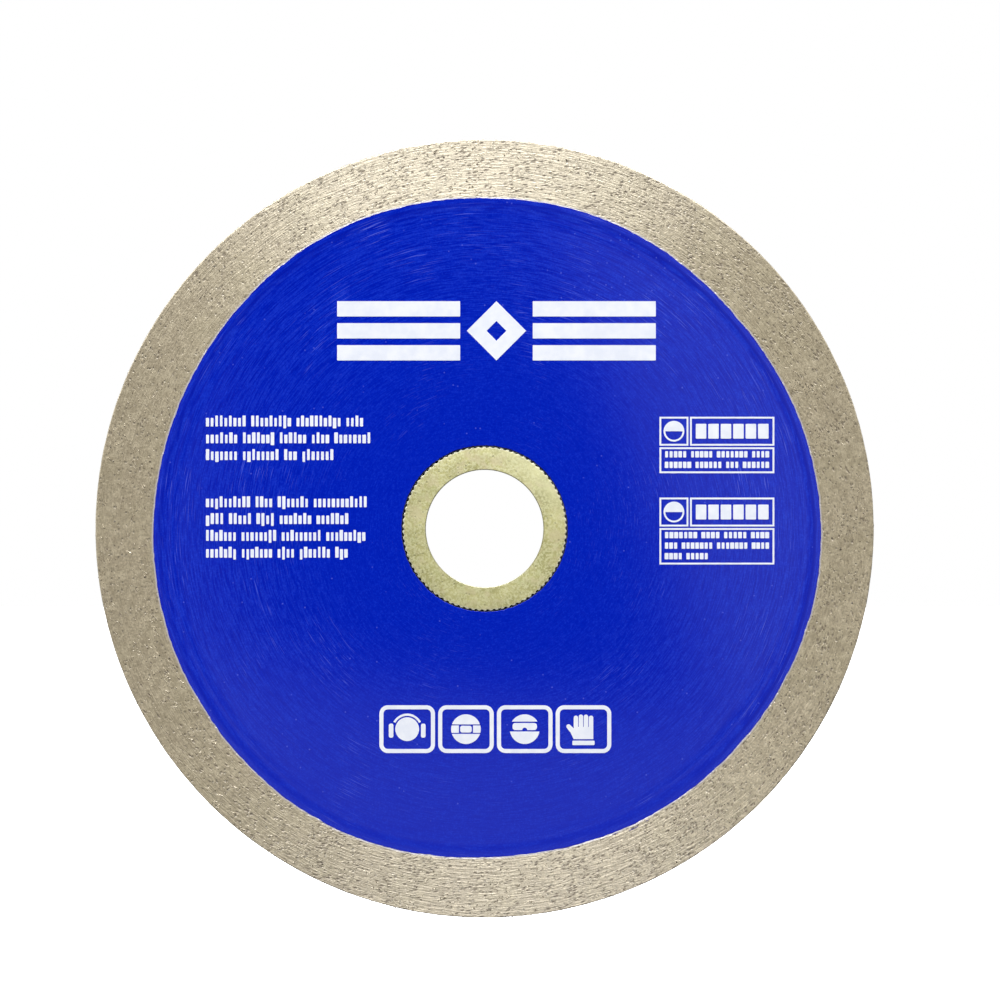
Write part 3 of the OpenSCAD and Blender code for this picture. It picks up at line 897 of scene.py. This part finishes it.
def paint_material():
    """Glossy enamel with scratches and blisters, darker in the shoulder's bend from thicker paint and
    painted shade, and worn at its edge.
    """
    m = Surface("blue_enamel", Metallic=0.0, IOR=1.5)
    outward = m.span(m.r, 15 * MM, 38 * MM, 0.25, 1.0, smooth=True)
    streaky = m.times(outward, m.span(m.z, -38 * MM, -12 * MM, 0.40, 1.0))
    brush = m.noise(m.around(7.0, 0.26, 2.0), detail=2.0, rough=0.6)
    fine = m.noise(m.around(2.8, 0.15, 7.0), detail=1.0)
    grain = m.noise(m.at, 4200.0, 2.0, 0.6)
    scratch = m.span(m.noise(m.around(4.5, 0.10, 13.0), detail=1.0), 0.64, 0.72)
    scratch = m.times(scratch, m.span(m.noise(m.at, 90.0, 2.0), 0.50, 0.60), streaky)
    near_spot = m.span(m.vector_maths("DISTANCE", m.at, BLISTERS_AT)["Value"], 12 * MM, 2 * MM, smooth=True)
    blister = m.specks(m.at, 1650.0, 0.24, m.maths("MULTIPLY_ADD", near_spot, 0.30, 0.03))
    colour = paint_colour(m, streaky, brush, fine, grain)
    light = m.maths("MAXIMUM", m.times(scratch, 0.60), m.times(blister, 0.45))
    colour = m.mix(light, colour, (0.12, 0.16, 0.72))
    height = m.times(m.maths("MULTIPLY_ADD", fine, 0.5, brush), outward)
    height = m.maths("MULTIPLY_ADD", blister, 0.9, height)
    past_toe = m.attribute("past_toe")
    on_sweep = m.times(m.span(past_toe, -1.0, -0.6), m.span(past_toe, 1.48, 1.36))
    normal = m.bump(height, 2e-6, m.levelled(m.times(on_sweep, 0.9)))
    # Darker in the shoulder's bend: partly thicker paint, partly painted shade of the bend, strongest to the
    # right and weak at the bottom.
    pooled_and_shade = m.times(m.span(past_toe, 0.35, 0.55, smooth=True), m.span(past_toe, 1.00, 0.75, smooth=True))
    pooled_and_shade = m.times(pooled_and_shade, m.span(m.x, 5 * MM, 40 * MM, 0.40, 0.90, smooth=True))
    pooled_and_shade = m.times(pooled_and_shade, m.span(m.z, -42 * MM, -20 * MM, 0.15, 1.0, smooth=True))
    colour = m.mix(pooled_and_shade, colour, (0.0003, 0.0080, 0.37))
    worn = m.times(m.span(past_toe, 1.42, 1.52), 0.5)
    colour = m.mix(worn, colour, (0.045, 0.016, 0.17))
    dull = m.times(m.span(past_toe, -0.45, 0.0, smooth=True), m.span(past_toe, 1.1, 0.6, smooth=True))
    rough = m.maths("MULTIPLY_ADD", outward, 0.03, m.span(fine, 0.3, 0.7, 0.05, 0.08))
    return m.done(colour, m.maths("MULTIPLY_ADD", dull, 0.05, rough), normal)


def ink_material():
    """Thin white ink with a fine grain that lets the blue show a little."""
    m = Surface("white_screen_ink", Metallic=0.0, IOR=1.45)
    cloud = m.noise(m.at, 700.0, 3.0)
    grain = m.noise(m.at, 6000.0, 2.0)
    colour = m.mix(m.span(cloud, 0.35, 0.65), (0.775, 0.81, 0.90), (0.85, 0.875, 0.935))
    colour = m.mix(m.span(grain, 0.58, 0.72, 0.0, 0.18), colour, (0.55, 0.62, 0.86))
    return m.done(colour, m.span(cloud, 0.3, 0.7, 0.42, 0.55), m.bump(grain, 3e-6))


def zinc_colour(m, cloud, spangle, pits):
    """Olive yellow with green and pink clouds, with painted light: paler at the upper right, darker at the
    lower left and a little darker at the right.
    """
    pink = m.noise(m.at, 620.0, 3.0, 0.6)
    green = m.noise(m.at, 480.0, 2.0)
    colour = m.mix(m.span(cloud, 0.34, 0.66), (0.495, 0.465, 0.178), (0.815, 0.775, 0.345))
    colour = m.mix(m.span(spangle, 0.44, 0.58, 0.0, 0.95), colour, (0.98, 0.96, 0.57))
    colour = m.mix(m.span(green, 0.55, 0.7, 0.0, 0.35), colour, (0.67, 0.71, 0.33))
    colour = m.mix(m.span(pink, 0.50, 0.64, 0.0, 0.70), colour, (0.87, 0.77, 0.47))
    # Painted shade in the pits, which the bump sinks.
    colour = m.mix(m.times(pits, 0.6), colour, (0.26, 0.245, 0.145))
    # Painted light and shade: paler to the upper right, darker to the lower left.
    up_right = m.maths("ADD", m.x, m.z)
    colour = m.mix(m.span(up_right, 12 * MM, -12 * MM, 0.0, 0.40), colour, (0.50, 0.48, 0.21))
    colour = m.mix(m.span(up_right, 10 * MM, 14 * MM, 0.0, 0.60), colour, (1.0, 0.98, 0.57))
    # Painted shade: a little darker to the right.
    level_right = m.maths("SUBTRACT", m.x, m.maths("ABSOLUTE", m.z))
    return m.mix(m.span(level_right, 0.0, 9 * MM, 0.0, 0.30), colour, (0.50, 0.46, 0.17))


def zinc_material():
    """Yellow zinc plate with painted shade on a lip at the bore, in its pits and down the knurl's flanks,
    and a painted highlight on the knurl's crests.
    """
    m = Surface("yellow_zinc", Metallic=0.40, IOR=2.0)
    cloud = m.noise(m.at, 330.0, 4.0, 0.62)
    spangle = m.noise(m.at, 3600.0, 3.0, 0.65)
    # Pits, whose painted shade is more crowded to the left.
    pits = m.specks(m.at, 1900.0, 0.34, m.span(m.x, 6 * MM, -9 * MM, 0.14, 0.55))
    colour = zinc_colour(m, cloud, spangle, pits)
    # Painted shade on a thin lip round the bore.
    lip = m.span(m.r, BORE_R + 0.16 * MM, BORE_R + 0.06 * MM, 0.0, 0.75)
    colour = m.mix(lip, colour, (0.20, 0.185, 0.10))
    crest = m.span(m.r, CREST_R - 0.26 * MM, CREST_R - 0.10 * MM)
    depth = m.span(m.maths("ABSOLUTE", m.y), BUSH_HALF - 0.06 * MM, BUSH_HALF - 0.10 * MM)
    # Painted highlight on the knurl's crests.
    colour = m.mix(m.times(crest, 0.7), colour, (0.92, 0.92, 0.82))
    up_right = m.maths("ADD", m.x, m.z)
    # Painted shade down the knurl's flanks and on the band between them: nearly black to the lower left, a
    # paler painted glint to the upper right.
    flank_light_and_shade = m.mix(m.span(up_right, 0.0, 10 * MM), (0.055, 0.058, 0.075), (0.26, 0.29, 0.33))
    colour = m.mix(m.times(crest, depth), colour, flank_light_and_shade)
    height = m.maths("MULTIPLY_ADD", pits, -0.6, spangle)
    return m.done(colour, m.span(cloud, 0.3, 0.7, 0.38, 0.52), m.bump(height, 28e-6))


def steel_material():
    """Rolled steel with rust in patches, and painted shade that darkens it at the arbor hole."""
    m = Surface("bare_core_steel", Metallic=0.9, IOR=1.5)
    rolled = m.noise(m.at, 1400.0, 4.0, 0.6)
    rust = m.noise(m.at, 420.0, 3.0)
    colour = m.mix(m.span(rolled, 0.35, 0.65), (0.36, 0.36, 0.35), (0.56, 0.56, 0.54))
    colour = m.mix(m.span(rust, 0.60, 0.75, 0.0, 0.5), colour, (0.20, 0.13, 0.08))
    # Painted shade: nearly black at the arbor hole.
    colour = m.mix(m.span(m.r, 12 * MM, 11.5 * MM), colour, (0.050, 0.055, 0.090))
    return m.done(colour, m.span(rolled, 0.3, 0.7, 0.38, 0.55), m.bump(rolled, 10e-6))


# ---- Studio ----

EYE = Vector((2.08 * MM, -0.9, 3.87 * MM))
VIEW_WIDTH = 135.06 * MM                        # what the frame takes in at the blade's plane
FLOOR_HALF = 4.0
FLOOR_Z = -0.075
BRIGHTER_TO = (-0.4, 0.0, 1.3)                  # the way the world's light grows, and by how much
MEAN_LIGHT, LEAST_LIGHT = 1.4, 0.05


def make_camera():
    data = bpy.data.cameras.new("camera")
    data.sensor_width = 36.0
    data.lens = data.sensor_width * -EYE.y / VIEW_WIDTH
    camera = bpy.data.objects.new("camera", data)
    camera.location = EYE
    camera.rotation_euler = (math.pi / 2, 0, 0)
    bpy.context.scene.collection.objects.link(camera)
    bpy.context.scene.camera = camera


def lamp(name, centre, size, radiance):
    """A soft panel that shines at the blade, one in front of it and one behind.

    The first of its sizes runs round the spin axis.
    """
    for side in (FRONT, BACK):
        data = bpy.data.lights.new(name, "AREA")
        data.shape = "RECTANGLE"
        data.size, data.size_y = size
        data.energy = radiance * math.pi * size[0] * size[1]
        panel = bpy.data.objects.new(name, data)
        at = Vector((-side * centre[0], -side * centre[1], centre[2]))
        away = at.normalized()
        across = Vector((0, 1, 0)).cross(away).normalized()
        panel.location = at
        panel.rotation_euler = Matrix((across, away.cross(across), away)).transposed().to_euler()
        panel.visible_camera = False
        bpy.context.scene.collection.objects.link(panel)


def make_world():
    """White to the camera. The light it gives is dim along the spin axis and brighter to the sides."""
    world = bpy.data.worlds.new("studio")
    bpy.context.scene.world = world
    world.use_nodes = True
    n = Nodes(world.node_tree)
    n.tree.nodes.clear()
    ray = n.add("ShaderNodeTexCoord").outputs["Generated"]
    along = n.maths("ABSOLUTE", n.add("ShaderNodeSeparateXYZ", Vector=ray).outputs["Y"])
    aside = n.maths("POWER", n.maths("SUBTRACT", 1.0, along), 2.0)
    gain = n.vector_maths("DOT_PRODUCT", ray, BRIGHTER_TO)["Value"]
    level = n.maths("MAXIMUM", n.maths("ADD", gain, MEAN_LIGHT), LEAST_LIGHT)
    seen = n.add("ShaderNodeLightPath").outputs["Is Camera Ray"]
    strength = n.add("ShaderNodeMix")
    for index, value in ((0, seen), (2, n.times(aside, level)), (3, 1.0)):
        n.put(strength.inputs[index], value)
    glow = n.add("ShaderNodeBackground", Color=(1, 1, 1), Strength=strength.outputs[0])
    n.add("ShaderNodeOutputWorld", Surface=glow.outputs[0])


def make_floor():
    """A white table that only the camera sees."""
    corners = ((-1, -1), (1, -1), (1, 1), (-1, 1))
    points = np.array([(x * FLOOR_HALF, y * FLOOR_HALF, FLOOR_Z) for x, y in corners])
    mesh = mesh_of("floor", points, [(0, 1, 2, 3)])
    floor = bpy.data.objects.new("floor", mesh)
    bpy.context.scene.collection.objects.link(floor)
    m = Surface("white_table", Emission_Color=(1, 1, 1, 1), Emission_Strength=1.0)
    mesh.materials.append(m.done((0.9, 0.9, 0.9), 0.9))
    floor.visible_diffuse = False
    floor.visible_glossy = False


# ---- Put together ----

make_camera()
make_world()
make_floor()
lamp("key", (-0.08, -0.70, 0.97), (1.10, 0.3), 21.2)
lamp("low", (0.33, -0.70, -0.92), (1.75, 0.3), 1.40)
lamp("right_veil", (0.0926, -0.9, 0.0298), (0.40, 0.107), 0.58)
lamp("low_veil", (-0.01, -0.9, -0.09), (0.30, 0.08), 0.46)
lamp("left_veil", (-0.108, -0.9, -0.01), (0.28, 0.07), 0.25)

paint = paint_material()
ink = ink_material()
bond = rim_material()
grit = build_grit()
finish_piece(build_rim(), bond, "blade", "diamond_rim")
finish_piece(grit, grit_material(), "blade", "diamond_grit")
grit.data.materials.append(bond)
finish_piece(build_coat("front_enamel", FRONT), paint, "blade", "front_paint")
finish_piece(build_coat("back_enamel", BACK), paint, "blade", "back_paint")
finish_piece(build_ink("front_ink", front_drawing(), FRONT), ink, "blade", "front_print")
finish_piece(build_ink("back_ink", back_drawing(), BACK), ink, "blade", "back_print")
finish_piece(build_bushing(), zinc_material(), "bushing", "reducer_bushing")

core = frame["nodes"]["steel_core"]
core.data.materials.clear()
core.data.materials.append(steel_material())

bpy.context.scene.view_settings.view_transform = "Standard"
